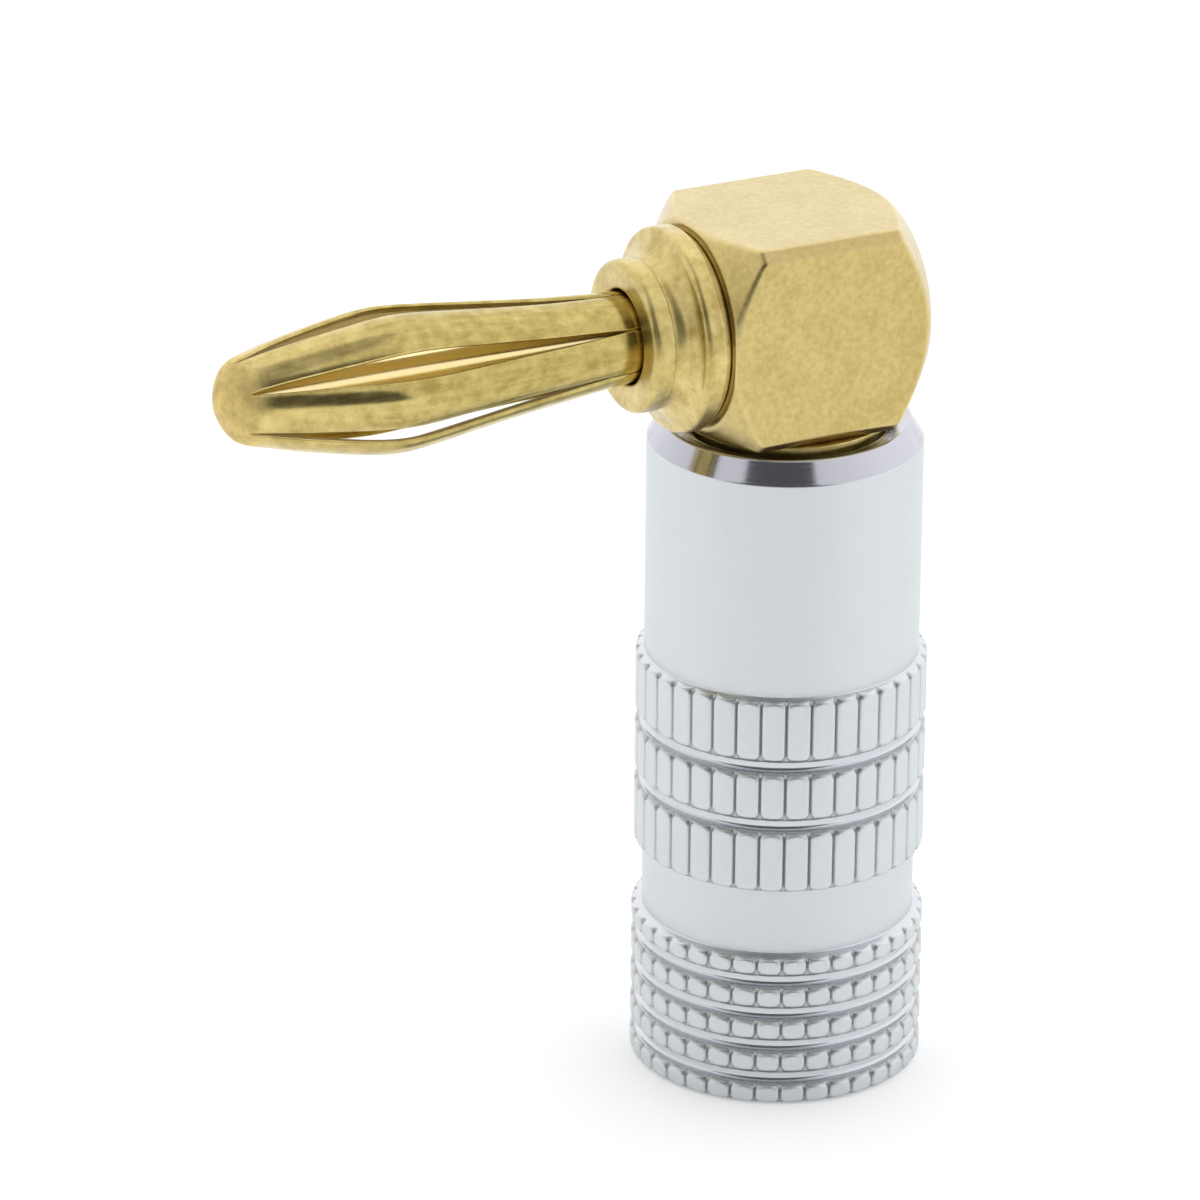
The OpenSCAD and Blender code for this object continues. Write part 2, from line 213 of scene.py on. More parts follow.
# Gold-plated brass off the lathe: a bright warm metal under a thin clear lacquer, with fine turning lines
# that follow the outline, a cloudiness of the plating and small pits that look like dark specks.
gold_turned, tree = new_material("gold_plated_brass_turned")
outline_mm = add_node(tree, "ShaderNodeAttribute", attribute_name="outline_mm")
turning = add_node(tree, "ShaderNodeTexNoise", {
    "W": outline_mm.outputs["Fac"], "Scale": 1 / 0.11, "Detail": 3.0}, noise_dimensions="1D")
place = add_node(tree, "ShaderNodeTexCoord")
cloud = add_node(tree, "ShaderNodeTexNoise", {
    "Vector": place.outputs["Object"], "Scale": 1 / (0.7 * MM), "Detail": 5.0, "Roughness": 0.65})
cloud = add_node(tree, "ShaderNodeMapRange", {
    "Value": cloud.outputs["Fac"], "From Min": 0.34, "From Max": 0.66})
gold_tone = add_node(tree, "ShaderNodeMix", {
    "Factor": cloud.outputs["Result"], "A": linear("#b7a058"), "B": linear("#dcc985")}, data_type="RGBA")
gold_tone = with_pits(tree, place, gold_tone, spacing=0.7, rim=(0.04, 0.13), rarity=(0.6, 0.9), depth=0.6,
                      colour="#5e4a1c")
polish = add_node(tree, "ShaderNodeMapRange", {
    "Value": turning.outputs["Fac"], "From Min": 0.3, "From Max": 0.7, "To Min": 0.32, "To Max": 0.42})
lines = add_node(tree, "ShaderNodeBump", {
    "Height": turning.outputs["Fac"], "Strength": 0.25, "Distance": 0.003 * MM})
shader = add_node(tree, "ShaderNodeBsdfPrincipled", {
    "Base Color": gold_tone.outputs["Result"], "Metallic": 1.0, "Roughness": polish.outputs["Result"],
    "Normal": lines.outputs["Normal"], "Coat Weight": 0.5, "Coat Roughness": 0.08})
add_node(tree, "ShaderNodeOutputMaterial", {"Surface": shader.outputs["BSDF"]})

outline = broken_corners(POST_CORNERS)
run_from, run_to = outline[:-1], outline[1:]
on_thread = (run_from[:, 1] > CLOSE_FROM) & (np.maximum(run_from[:, 1], run_to[:, 1]) < CLOSE_TO)
on_thread &= run_to[:, 0] > POST_BODY_R - 0.1
outline = closer(outline, np.where(on_thread, 0.07, 2.5))
angle = full_turn(144)
radius, height = outline[:, :1], outline[:, 1:]
cut = thread_cut(angle, height, **POST_THREAD) * (radius > POST_BODY_R)
points = around_z(np.maximum(radius - cut, np.minimum(radius, POST_BODY_R)), angle, height)
post = add_piece("terminal_post_turned", points, grid_faces(len(outline), len(angle)), gold_turned,
                 "core", "gold_plate", "terminal_post",
                 outline_mm=np.repeat(path_length(outline), len(angle)))

for level in SCREW_LEVELS:
    drill = around_z(np.array([[0], [SCREW_HOLE_R], [SCREW_HOLE_R], [0]]),
                     full_turn(DRILL_COLUMNS) + DRILL_TURN, np.repeat(DRILL_REACH, 2)[:, None])
    drill = np.stack([drill[:, 0], -drill[:, 2], level + drill[:, 1]], -1)
    cutter = add_piece("screw_drill", drill, grid_faces(4, DRILL_COLUMNS), gold_turned,
                       "core", "gold_plate", None)
    hole = post.modifiers.new("screw_hole", "BOOLEAN")
    hole.operation, hole.solver, hole.object = "DIFFERENCE", "EXACT", cutter
    apply_modifiers(post)
    bpy.data.objects.remove(cutter)


# Set screws
# Two steel socket set screws in the side of the post, zinc plated. They are screwed in with a hexagon key to
# clamp the wire, and are shown backed out.

SCREW_CORNERS = [  # radius, distance from the sleeve axis, how far the corner is broken
    (0, 1.8, 0), (1.1, 1.8, 0.05), (1.5, 2.05, 0.04), (1.5, 3.05, 0.04), (1.38, 3.2, 0.03),
    (0.75, 3.2, 0.03), (0.75, 2.42, 0.03), (0, 2.25, 0)]
SCREW_WALL_R, SCREW_CREST_R = 1.4, 1.45  # the mesh is close outside the first, threaded outside the second
SCREW_THREAD = {"pitch": 0.5, "depth": 0.18, "low": 1.9, "high": 3.15}
SOCKET_HALF, SOCKET_FLOOR = 0.76, 2.2

# Zinc-plated steel: cold grey, half matt, a little blotched by passivation.
screw_steel, tree = new_material("zinc_plated_steel")
place = add_node(tree, "ShaderNodeTexCoord")
blotch = add_node(tree, "ShaderNodeTexNoise", {
    "Vector": place.outputs["Object"], "Scale": 1 / (0.5 * MM), "Detail": 5.0})
steel_tone = add_node(tree, "ShaderNodeMix", {
    "Factor": blotch.outputs["Fac"], "A": linear("#84888e"), "B": linear("#a9adb2")}, data_type="RGBA")
matt = add_node(tree, "ShaderNodeMapRange", {
    "Value": blotch.outputs["Fac"], "To Min": 0.24, "To Max": 0.42})
shader = add_node(tree, "ShaderNodeBsdfPrincipled", {
    "Base Color": steel_tone.outputs["Result"], "Metallic": 1.0, "Roughness": matt.outputs["Result"]})
add_node(tree, "ShaderNodeOutputMaterial", {"Surface": shader.outputs["BSDF"]})

outline = broken_corners(SCREW_CORNERS, margin=0.01)
outline = closer(outline, np.where(outline[1:, 0] > SCREW_WALL_R, 0.05, 1))
angle = full_turn(96)
radius, height = outline[:, :1], outline[:, 1:]
hexagon = 1 / np.cos((angle + np.pi / 6) % (np.pi / 3) - np.pi / 6)
in_socket = (radius <= SOCKET_HALF) & (height > SOCKET_FLOOR)
cut = thread_cut(angle, height, **SCREW_THREAD) * (radius > SCREW_CREST_R)
points = around_z(np.where(in_socket, radius * hexagon, radius - cut), angle, height)
for name, level in zip(("lower", "upper"), SCREW_LEVELS):
    across = np.stack([points[:, 0], -points[:, 2], level + points[:, 1]], -1)
    add_piece(f"set_screw_{name}_socket", across, grid_faces(len(outline), len(angle)), screw_steel,
              f"screw_{name}", "screw_steel", f"set_screw_{name}")


# Angle block
# A length of square brass bar whose corners are turned off to a cone at both ends. It was tumbled, which
# rounded all its edges, then blasted to a fine satin and gold plated.

PIN_Z = 29.02
BLOCK_HALF = 3.82
BLOCK_PROFILE = [  # turned limit: distance along the pin, radius, how far the corner is broken
    (4, 0, 0), (4, 3.82, 0.12), (2.62, 5.53, 0.1), (-2.32, 5.53, 0.1), (-4, 3.45, 0.14), (-4, 0, 0)]
BLOCK_SIDE_COLUMNS = 112
CONE_LEAST_R, BAR_REACH = 3.3, 2  # the cones lie outside this radius and further than this from the middle
BAR_CHAMFER, CHAMFER_FADE = 0.36, 0.05
BAR_EDGE, CONE_EDGE = 0.07, 0.2


def soft_min(a, b, width):
    """The smaller of a and b, rounded where they differ by less than width:
    min - (width - |a - b|)^2 / (4 width)."""
    return np.minimum(a, b) - np.maximum(width - np.abs(a - b), 0) ** 2 / (4 * width)


def along_pin(points):
    """Turns points built on +Z so that +Z becomes -X on the axis of the pin and +X becomes up."""
    return np.stack([-points[:, 2], points[:, 1], PIN_Z + points[:, 0]], -1)


# Gold-plated brass, blasted: a satin with a mottled grain of about 0.2 mm, paler where it is seen at a flat
# angle through its clear lacquer, with a few pits that look like dark specks. A painted highlight makes it
# paler along the rounded edges. On the chamfers the plating is thin and a pinkish copper shows through.
gold_satin, tree = new_material("gold_plated_brass_blasted")
place = add_node(tree, "ShaderNodeTexCoord")
rub_and_painted_highlight = add_node(tree, "ShaderNodeAttribute", attribute_name="edge")
grain = add_node(tree, "ShaderNodeTexNoise", {
    "Vector": place.outputs["Object"], "Scale": 1 / (0.22 * MM), "Detail": 1.0})
cloud = add_node(tree, "ShaderNodeTexNoise", {
    "Vector": place.outputs["Object"], "Scale": 1 / (1.4 * MM), "Detail": 3.0})
mottle = add_node(tree, "ShaderNodeMix", {
    "Factor": 0.4, "A": grain.outputs["Fac"], "B": cloud.outputs["Fac"]}, data_type="FLOAT")
mottle = add_node(tree, "ShaderNodeMapRange", {
    "Value": mottle.outputs["Result"], "From Min": 0.36, "From Max": 0.64})
gold_tone = add_node(tree, "ShaderNodeMix", {
    "Factor": mottle.outputs["Result"], "A": linear("#b9a35b"), "B": linear("#cfba73")}, data_type="RGBA")
gold_tone = with_pits(tree, place, gold_tone, spacing=0.9, rim=(0.04, 0.11), rarity=(0.7, 0.9), depth=0.35,
                      colour="#5e4a1c")
chamfered = add_node(tree, "ShaderNodeAttribute", attribute_name="chamfered")
bared = add_node(tree, "ShaderNodeMath", {0: chamfered.outputs["Fac"], 1: 0.3}, operation="MULTIPLY")
gold_tone = add_node(tree, "ShaderNodeMix", {
    "Factor": bared.outputs["Value"], "A": gold_tone.outputs["Result"], "B": linear("#b3936a")},
    data_type="RGBA")
# Painted highlight: the rounded edges are mixed a quarter of the way to a pale gold.
edge_painted_highlight = add_node(tree, "ShaderNodeMath", {0: rub_and_painted_highlight.outputs["Fac"], 1: 0.25}, operation="MULTIPLY")
gold_tone = add_node(tree, "ShaderNodeMix", {
    "Factor": edge_painted_highlight.outputs["Value"], "A": gold_tone.outputs["Result"], "B": linear("#efdfa6")},
    data_type="RGBA")
satin = add_node(tree, "ShaderNodeMapRange", {
    "Value": grain.outputs["Fac"], "From Min": 0.3, "From Max": 0.7, "To Min": 0.3, "To Max": 0.4})
blasting = add_node(tree, "ShaderNodeBump", {
    "Height": grain.outputs["Fac"], "Strength": 0.25, "Distance": 0.006 * MM})
shader = add_node(tree, "ShaderNodeBsdfPrincipled", {
    "Base Color": gold_tone.outputs["Result"], "Metallic": 1.0, "Roughness": satin.outputs["Result"],
    "Normal": blasting.outputs["Normal"], "Coat Weight": 1.0, "Coat Roughness": 0.3})
add_node(tree, "ShaderNodeOutputMaterial", {"Surface": shader.outputs["BSDF"]})

outline = broken_corners(BLOCK_PROFILE)
in_bar = np.abs(outline[1:, 0] + outline[:-1, 0]) / 2 < BAR_REACH
on_cone = (outline[1:, 1] > CONE_LEAST_R) & ~in_bar
outline = closer(outline, np.where(on_cone, 0.05, 0.7))
side_share = np.sin(np.pi / 2 * np.linspace(-1, 1, BLOCK_SIDE_COLUMNS, endpoint=False))
angle = (np.pi / 2 * np.arange(4)[:, None] + np.pi / 4 * side_share).ravel()
flat = BLOCK_HALF / np.maximum(np.abs(np.cos(angle)), np.abs(np.sin(angle)))
chamfer = (2 * BLOCK_HALF - BAR_CHAMFER) / (np.abs(np.cos(angle)) + np.abs(np.sin(angle)))
bar = soft_min(flat, chamfer, BAR_EDGE)
turned = outline[:, 1:]
radius = np.maximum(soft_min(bar, turned, CONE_EDGE), 0)
# The rounded edges of the bar and of the cones, where the gold is painted paler as a painted highlight.
bar_edge = (1 - np.abs(flat - chamfer) / BAR_EDGE) * (turned > bar)
edge = np.maximum(1 - np.abs(bar - turned) / CONE_EDGE, bar_edge)
points = along_pin(around_z(radius, angle, outline[:, :1]))
add_piece("angle_block_tumbled", points, grid_faces(len(outline), len(angle)), gold_satin,
          "core", "gold_plate", "angle_block", sharp=180, edge=np.clip(edge, 0, 1),
          chamfered=np.clip((flat - chamfer) / CHAMFER_FADE, 0, 1) * (turned > bar))


# Pin collar
# A turned brass collar, gold plated and left bright: a recessed neck makes the dark seam at the block, then
# come a shoulder, a cove and a rounded lip around the bore that takes the spring. It is pressed into the
# block.

COLLAR_CORNERS = [  # radius, distance along the pin, how far the corner is broken
    (0, 2.2, 0), (1.99, 2.2, 0.1), (1.99, 4.02, 0.03), (3.5, 4.02, 0.05), (3.5, 4.28, 0.05),
    (3.73, 4.28, 0.1), (3.73, 5.02, 0.2), (3.34, 5.1, 0.1), (2.67, 5.5, 0.3), (2.67, 5.8, 0.03),
    (2.78, 5.82, 0.05), (2.78, 6.66, 0.34), (1.72, 6.66, 0.22), (1.7, 6.2, 0.02), (1.7, 4.5, 0.05),
    (1.02, 4.5, 0.03), (1.02, 2.8, 0.03), (0, 2.8, 0)]

outline = closer(broken_corners(COLLAR_CORNERS, steps=11, margin=0.02), 0.6)
angle = full_turn(192)
points = along_pin(around_z(outline[:, :1], angle, outline[:, 1:]))
add_piece("pin_collar_turned", points, grid_faces(len(outline), len(angle)), gold_turned,
          "core", "gold_plate", "pin_collar", outline_mm=np.repeat(path_length(outline), len(angle)))


# Core pin
# A straight drawn rod, gold plated, pressed into the collar. It runs along the middle of the spring into its
# nose and shows as a bright line between the leaves.

CORE_CORNERS = [  # radius, distance along the pin, how far the corner is broken
    (0, 2.85, 0), (0.94, 2.85, 0.06), (0.94, 21.4, 0.3), (0, 21.4, 0)]
STREAK_STRETCH = (0.04, 1.0, 1.0)  # streaks along the pin are 25 times as long as they are wide

# Gold-plated brass, drawn, with fine streaks along the rod from the drawing die. Its gold is painted much
# paler than the leaves' as a painted highlight, so that the rod shows as a bright line between them.
gold_rod_painted_pale, tree = new_material("gold_plated_brass_drawn_painted_highlight")
place = add_node(tree, "ShaderNodeTexCoord")
along = add_node(tree, "ShaderNodeMapping", {"Vector": place.outputs["Object"], "Scale": STREAK_STRETCH})
streaks = add_node(tree, "ShaderNodeTexNoise", {
    "Vector": along.outputs["Vector"], "Scale": 1 / (0.15 * MM), "Detail": 3.0})
# Painted highlight: a pale, nearly white gold.
gold_tone = add_node(tree, "ShaderNodeMix", {
    "Factor": streaks.outputs["Fac"], "A": linear("#f4e0a0"), "B": linear("#fff0ba")}, data_type="RGBA")
polish = add_node(tree, "ShaderNodeMapRange", {
    "Value": streaks.outputs["Fac"], "From Min": 0.3, "From Max": 0.7, "To Min": 0.14, "To Max": 0.22})
shader = add_node(tree, "ShaderNodeBsdfPrincipled", {
    "Base Color": gold_tone.outputs["Result"], "Metallic": 1.0, "Roughness": polish.outputs["Result"]})
add_node(tree, "ShaderNodeOutputMaterial", {"Surface": shader.outputs["BSDF"]})

outline = closer(broken_corners(CORE_CORNERS), 0.6)
angle = full_turn(64)
points = along_pin(around_z(outline[:, :1], angle, outline[:, 1:]))
add_piece("core_pin_drawn", points, grid_faces(len(outline), len(angle)), gold_rod_painted_pale,
          "core", "gold_spring", "core_pin")


# Contact spring
# Six leaves of gold-plated spring bronze, stamped from 0.3 mm sheet and formed to a cage with a closed,
# rounded nose. Each leaf has its own cross curve, and the free ends sit in the collar's bore so that the cage
# can give.

LEAVES = 6
LEAF_SHEET = 0.3
LEAF_CURVE, LEAF_CURVE_JOIN = 1.5, 0.2
LEAF_END_S, LIP_S, BULGE_S, NOSE_S, SPRING_TIP_S = 4.8, 6.5, 15.8, 20, 22.3  # distances along the pin
ROOT_R, BULGE_R, NOSE_R, BULGE_DROP = 1.67, 2.9, 1.97, 0.22
REAR_RISE, NOSE_FALL, TIP_ROUND = 0.07, 0.3, 1.66
NOSE_JOIN, TIP_JOIN = 0.1, 0.25
SLOT_TIP_S, SLOT_WIDE_S, SLOT_ROOT_S = 21.6, 16, 7
SLOT_W, SLOT_ROOT, SLOT_SPREAD, SLOT_JOIN = 0.77, 0.03, 0.1, 0.3
EDGE_ROLL = 0.11
EDGE_COLUMNS = np.array([1, 0.94, 0.8, 0.5, 0])  # from the edge of a leaf to where its roll ends
LEAF_SWAY = (19, 5.5, -8, -4, -2.9, 1.3)  # degrees that each leaf stands off its even place
CAGE_SAG, SAG_FADE = 0.05, 3
FLANK_RUB = 0.36  # how worn the front flank is, where the nose is 1
FLANK_RUB_S, NOSE_RUB_S = (14.5, 19), (20.6, 21.4)  # from where the wear starts to where it is full


def leaf_radius(s):
    """Radius of the middle line of a leaf: a rear flank that curls up and a straight front flank, joined at
    the bulge by a hyperbola, (a + b - sqrt((a - b)^2 + 4 drop^2)) / 2, then a steeper cone and a parabola at
    the tip, sqrt(2 round (tip - s))."""
    along = np.maximum(s - LIP_S, 0)
    curl = (BULGE_R - ROOT_R - REAR_RISE * (BULGE_S - LIP_S)) / (BULGE_S - LIP_S) ** 2
    a = ROOT_R + REAR_RISE * along + curl * along ** 2
    b = BULGE_R + (NOSE_R - BULGE_R) * (s - BULGE_S) / (NOSE_S - BULGE_S)
    flank = (a + b - np.sqrt((a - b) ** 2 + 4 * BULGE_DROP ** 2)) / 2
    tip = np.sqrt(2 * TIP_ROUND * (SPRING_TIP_S - s))
    nose = soft_min(NOSE_R - NOSE_FALL * (s - NOSE_S), tip, TIP_JOIN)
    return np.maximum(soft_min(flank, nose, NOSE_JOIN), 0)


def arc_radius(turn, offset, curve):
    """Distance from the axis to an arc of radius curve whose centre lies offset from it, at a turn from that
    centre: offset cos + sqrt(curve^2 - (offset sin)^2)."""
    return offset * np.cos(turn) + np.sqrt(np.maximum(curve ** 2 - (offset * np.sin(turn)) ** 2, 0))


def slot_opening(s):
    """Opening between two leaves: t^0.75 from the nose and straight sides from the root, joined softly."""
    t = np.maximum(SLOT_TIP_S - s, 0) / (SLOT_TIP_S - SLOT_WIDE_S)
    sides = SLOT_ROOT + SLOT_SPREAD * np.maximum(s - SLOT_ROOT_S, 0)
    return np.maximum(soft_min(SLOT_W * t ** 0.75, sides, SLOT_JOIN), 0)


# Gold-plated spring bronze, rolled and formed: bright but mottled, with long fine streaks along the pin from
# the rolling and from being pushed into sockets, and a few dark specks. Towards the nose it is rubbed paler
# in patches, and the nose itself is matt.
gold_spring, tree = new_material("gold_plated_spring_bronze_rolled")
place = add_node(tree, "ShaderNodeTexCoord")
along = add_node(tree, "ShaderNodeMapping", {"Vector": place.outputs["Object"], "Scale": STREAK_STRETCH})
streaks = add_node(tree, "ShaderNodeTexNoise", {
    "Vector": along.outputs["Vector"], "Scale": 1 / (0.22 * MM), "Detail": 3.0})
cloud = add_node(tree, "ShaderNodeTexNoise", {
    "Vector": place.outputs["Object"], "Scale": 1 / (0.6 * MM), "Detail": 6.0, "Roughness": 0.65})
mottle = add_node(tree, "ShaderNodeMix", {
    "Factor": 0.65, "A": streaks.outputs["Fac"], "B": cloud.outputs["Fac"]}, data_type="FLOAT")
mottle = add_node(tree, "ShaderNodeMapRange", {
    "Value": mottle.outputs["Result"], "From Min": 0.36, "From Max": 0.64})
gold_tone = add_node(tree, "ShaderNodeMix", {
    "Factor": mottle.outputs["Result"], "A": linear("#a08b48"), "B": linear("#cbb974")}, data_type="RGBA")
nose = add_node(tree, "ShaderNodeAttribute", attribute_name="nose")
patchy = add_node(tree, "ShaderNodeMapRange", {
    "Value": cloud.outputs["Fac"], "From Min": 0.36, "From Max": 0.64, "To Min": 0.45, "To Max": 0.95})
bared = add_node(tree, "ShaderNodeMath", {
    0: nose.outputs["Fac"], 1: patchy.outputs["Result"]}, operation="MULTIPLY")
gold_tone = add_node(tree, "ShaderNodeMix", {
    "Factor": bared.outputs["Value"], "A": gold_tone.outputs["Result"], "B": linear("#ead490")},
    data_type="RGBA")
gold_tone = with_pits(tree, place, gold_tone, spacing=1.1, rim=(0.03, 0.1), rarity=(0.5, 0.8), depth=0.5,
                      colour="#5a4416")
polish = add_node(tree, "ShaderNodeMapRange", {
    "Value": streaks.outputs["Fac"], "From Min": 0.3, "From Max": 0.7, "To Min": 0.11, "To Max": 0.2})
matt = add_node(tree, "ShaderNodeMath", {0: nose.outputs["Fac"], 1: 3.0}, operation="POWER")
polish = add_node(tree, "ShaderNodeMath", {
    0: matt.outputs["Value"], 1: 0.55, 2: polish.outputs["Result"]}, operation="MULTIPLY_ADD")
rolling = add_node(tree, "ShaderNodeBump", {
    "Height": mottle.outputs["Result"], "Strength": 0.3, "Distance": 0.004 * MM})
shader = add_node(tree, "ShaderNodeBsdfPrincipled", {
    "Base Color": gold_tone.outputs["Result"], "Metallic": 1.0, "Roughness": polish.outputs["Value"],
    "Normal": rolling.outputs["Normal"], "Coat Weight": 0.2, "Coat Roughness": 0.3})
add_node(tree, "ShaderNodeOutputMaterial", {"Surface": shader.outputs["BSDF"]})

# The inside of the cage was never burnished: the same plating, dull enough to spread the light that comes in
# through the slots. Its gold is painted pale, nearly white, as painted light for what bounces round the cage.
gold_inside_painted_light, tree = new_material("gold_plated_spring_bronze_dull_painted_light")
place = add_node(tree, "ShaderNodeTexCoord")
cloud = add_node(tree, "ShaderNodeTexNoise", {
    "Vector": place.outputs["Object"], "Scale": 1 / (0.4 * MM), "Detail": 4.0})
# Painted light: a pale, nearly white gold inside the cage.
gold_tone = add_node(tree, "ShaderNodeMix", {
    "Factor": cloud.outputs["Fac"], "A": linear("#ffecaa"), "B": linear("#fff4c4")}, data_type="RGBA")
shader = add_node(tree, "ShaderNodeBsdfPrincipled", {
    "Base Color": gold_tone.outputs["Result"], "Metallic": 0.15, "Roughness": 0.6})
add_node(tree, "ShaderNodeOutputMaterial", {"Surface": shader.outputs["BSDF"]})

tip_length = SPRING_TIP_S - SLOT_TIP_S - 0.05
stations = np.sort(np.concatenate([
    np.linspace(LEAF_END_S, NOSE_S, 100, endpoint=False), np.linspace(NOSE_S, SLOT_TIP_S, 16),
    SPRING_TIP_S - tip_length * np.linspace(0, 1, 26) ** 2]))
middle_r = leaf_radius(stations)
curve = soft_min(middle_r, LEAF_CURVE, LEAF_CURVE_JOIN)
offset = middle_r - curve
half_pitch = np.pi / LEAVES
opening = slot_opening(stations)
# A leaf's half angle and the radius of its edge depend on each other, and settle in four rounds.
edge_r = middle_r.copy()
for _ in range(4):
    half_leaf = half_pitch - np.arcsin(np.clip(opening / 2 / np.maximum(edge_r, 0.2), 0, 0.45))
    edge_r = arc_radius(half_leaf, offset, curve)
# Along an open slot the edges of a leaf roll inwards on a quarter circle.
open_share = (opening / SLOT_W)[:, None]
roll = EDGE_ROLL * np.clip(8 * open_share, 0, 1)
roll_share = EDGE_ROLL / (half_leaf * np.maximum(edge_r, 0.6))[:, None]
side = 1 - roll_share * (1 - EDGE_COLUMNS)
middle = np.linspace(-1, 1, 9)[1:-1] * (1 - roll_share)
share = np.concatenate([-side, middle, side[:, ::-1]], axis=1)
across = half_leaf[:, None] * share
leaf_r = arc_radius(across, offset[:, None], curve[:, None])
turned = np.clip((np.abs(share) - 1) / roll_share + 1, 0, 0.97)
leaf_r -= roll * (1 - np.sqrt(1 - turned ** 2))
columns = share.shape[1]
sag = CAGE_SAG * np.clip((stations - LIP_S) / SAG_FADE, 0, 1)
sag *= np.clip((NOSE_S + 0.5 - stations) / SAG_FADE, 0, 1)
leaf_places = half_pitch * (1 + 2 * np.arange(LEAVES))
points = np.concatenate([
    around_z(leaf_r, across + leaf_place + math.radians(sway) * open_share, stations[:, None])
    for leaf_place, sway in zip(leaf_places, LEAF_SWAY)])
points[:, 0] -= np.tile(np.repeat(sag, columns), LEAVES)
leaf_quads = grid_faces(len(stations), columns, closed=False)
faces = np.concatenate([leaf_quads + k * len(stations) * columns for k in range(LEAVES)])
rub_and_painted_highlight = FLANK_RUB * np.interp(stations, FLANK_RUB_S, (0, 1))
rub_and_painted_highlight += (1 - FLANK_RUB) * np.interp(stations, NOSE_RUB_S, (0, 1))
spring = add_piece("contact_spring_formed", along_pin(points), faces, gold_spring,
                   "core", "gold_spring", "contact_spring", sharp=180,
                   nose=np.tile(np.repeat(rub_and_painted_highlight, columns), LEAVES))
spring.data.materials.append(gold_inside_painted_light)
wall = spring.modifiers.new("sheet_thickness", "SOLIDIFY")
wall.thickness, wall.offset, wall.use_even_offset = LEAF_SHEET * MM, -1, False
wall.material_offset = 1
apply_modifiers(spring)
spring.data.set_sharp_from_angle(angle=math.radians(40))


# Outer sleeve
# A turned brass sleeve with two rolled knurls, nickel and satin chrome plated. The rim, the bevels and the
# rings between the teeth were cut bright with a diamond tool after plating. It screws down over the terminal
# post.

SLEEVE_R, NECK_R, GRIP_R, FOOT_R = 5.0, 4.975, 5.3, 5.35
OUTER_LEAST_R = 4.8  # the outer face lies outside this radius
RINGS_APART, KNURL_TOP, BEVEL_TOP, RIM_TOP = 7, 16.05, 16.2, 24.99  # heights that part one zone from the next
TEETH = 36
TOOTH_HALF = np.pi * GRIP_R / TEETH
TOOTH_COLUMNS = np.array([0.29, 0.385, 0.413, 0.44])  # distances of the mesh columns from a tooth's middle
KNURL_DEPTH, KNURL_GAP = 0.13, 0.07
PAD_ROUND, PAD_EDGE = 0.24, 0.085
PAD_END_ROWS = np.array([0.022, 0.045, 0.075, 0.14, 0.22])  # distances of the mesh rows from the end of a pad
GROOVE_DEPTH, GROOVE_MOUTH, GROOVE_FLOOR, GROOVE_ROUND = 0.36, 0.6, 0.38, 0.13
FOOT_GROOVES, GRIP_GROOVES = (1.015, 2.305, 3.595, 4.885), (11.05, 13.35)
FOOT_PADS, GRIP_PADS = (0.04, 5.8), (8.5, 15.92)  # lowest and highest end of a ring's pads
FOOT_FACE, GRIP_FACE = (0.13, 5.75), (8.55, 15.87)  # a ring's face, inside its bevels
GROOVE_SHINE, RIM_TOP_SHINE = 0.75, 0.8
CUT_SLOPE, CUT_FADE = (0.2, 0.4), 0.02  # slopes from satin to bright cut, and how soon a tooth ends the cut


def ring_corners(ring_r, levels):
    """Corners of the grooves turned into a knurled ring, read upwards: mouth, two corners of the floor,
    mouth."""
    floor_r = ring_r - GROOVE_DEPTH
    return [corner for level in levels for corner in (
        (ring_r, level - GROOVE_MOUTH / 2, 0.02), (floor_r, level - GROOVE_FLOOR / 2, GROOVE_ROUND),
        (floor_r, level + GROOVE_FLOOR / 2, GROOVE_ROUND), (ring_r, level + GROOVE_MOUTH / 2, 0.02))]


def pad_rows(ring, levels):
    """Lower and upper end of each row of pads on a ring: from its own end to the first groove's mouth, from
    groove to groove, and on to its other end."""
    mouths = np.add.outer(levels, (-GROOVE_MOUTH / 2, GROOVE_MOUTH / 2)).ravel()
    return np.concatenate([ring[:1], mouths, ring[1:]]).reshape(-1, 2)


def pad_drop(across, height, ends):
    """How far the knurl lies below its pads. Each pad is a rectangle with rounded corners between two ends,
    and the drop is a smooth step, t^2 (3 - 2t), of the signed distance to its outline."""
    low, high = ends
    half_w, half_h = TOOTH_HALF - KNURL_GAP / 2, (high - low) / 2
    past_w = np.abs(across) - half_w + PAD_ROUND
    past_h = np.abs(height - (low + high) / 2) - half_h + PAD_ROUND
    outside = np.hypot(np.maximum(past_w, 0), np.maximum(past_h, 0))
    distance = outside + np.minimum(np.maximum(past_w, past_h), 0) - PAD_ROUND
    t = np.clip(distance / PAD_EDGE + 0.5, 0, 1)
    return KNURL_DEPTH * t ** 2 * (3 - 2 * t)


SLEEVE_CORNERS = [  # radius, height, how far the corner is broken
    (4.2, 10, 0), (4.2, 3, 0.2), (2.75, 3, 0.2), (2.75, 0, 0.25), (5.12, 0, 0.04), (FOOT_R, 0.12, 0.02),
    *ring_corners(FOOT_R, FOOT_GROOVES),
    (FOOT_R, 5.76, 0.02), (NECK_R, 5.9, 0.03), (NECK_R, 8.4, 0.03), (GRIP_R, 8.54, 0.02),
    *ring_corners(GRIP_R, GRIP_GROOVES),
    (GRIP_R, 15.88, 0.02), (SLEEVE_R, 16, 0.03), (SLEEVE_R, 24.18, 0.03), (4.48, 25, 0.08),
    (3.85, 24.78, 0.05), (3.72, 24.75, 0.03), (3.95, 24.6, 0.05), (3.95, 19, 0.03), (4.2, 19, 0.05),
    (4.2, 10, 0)]
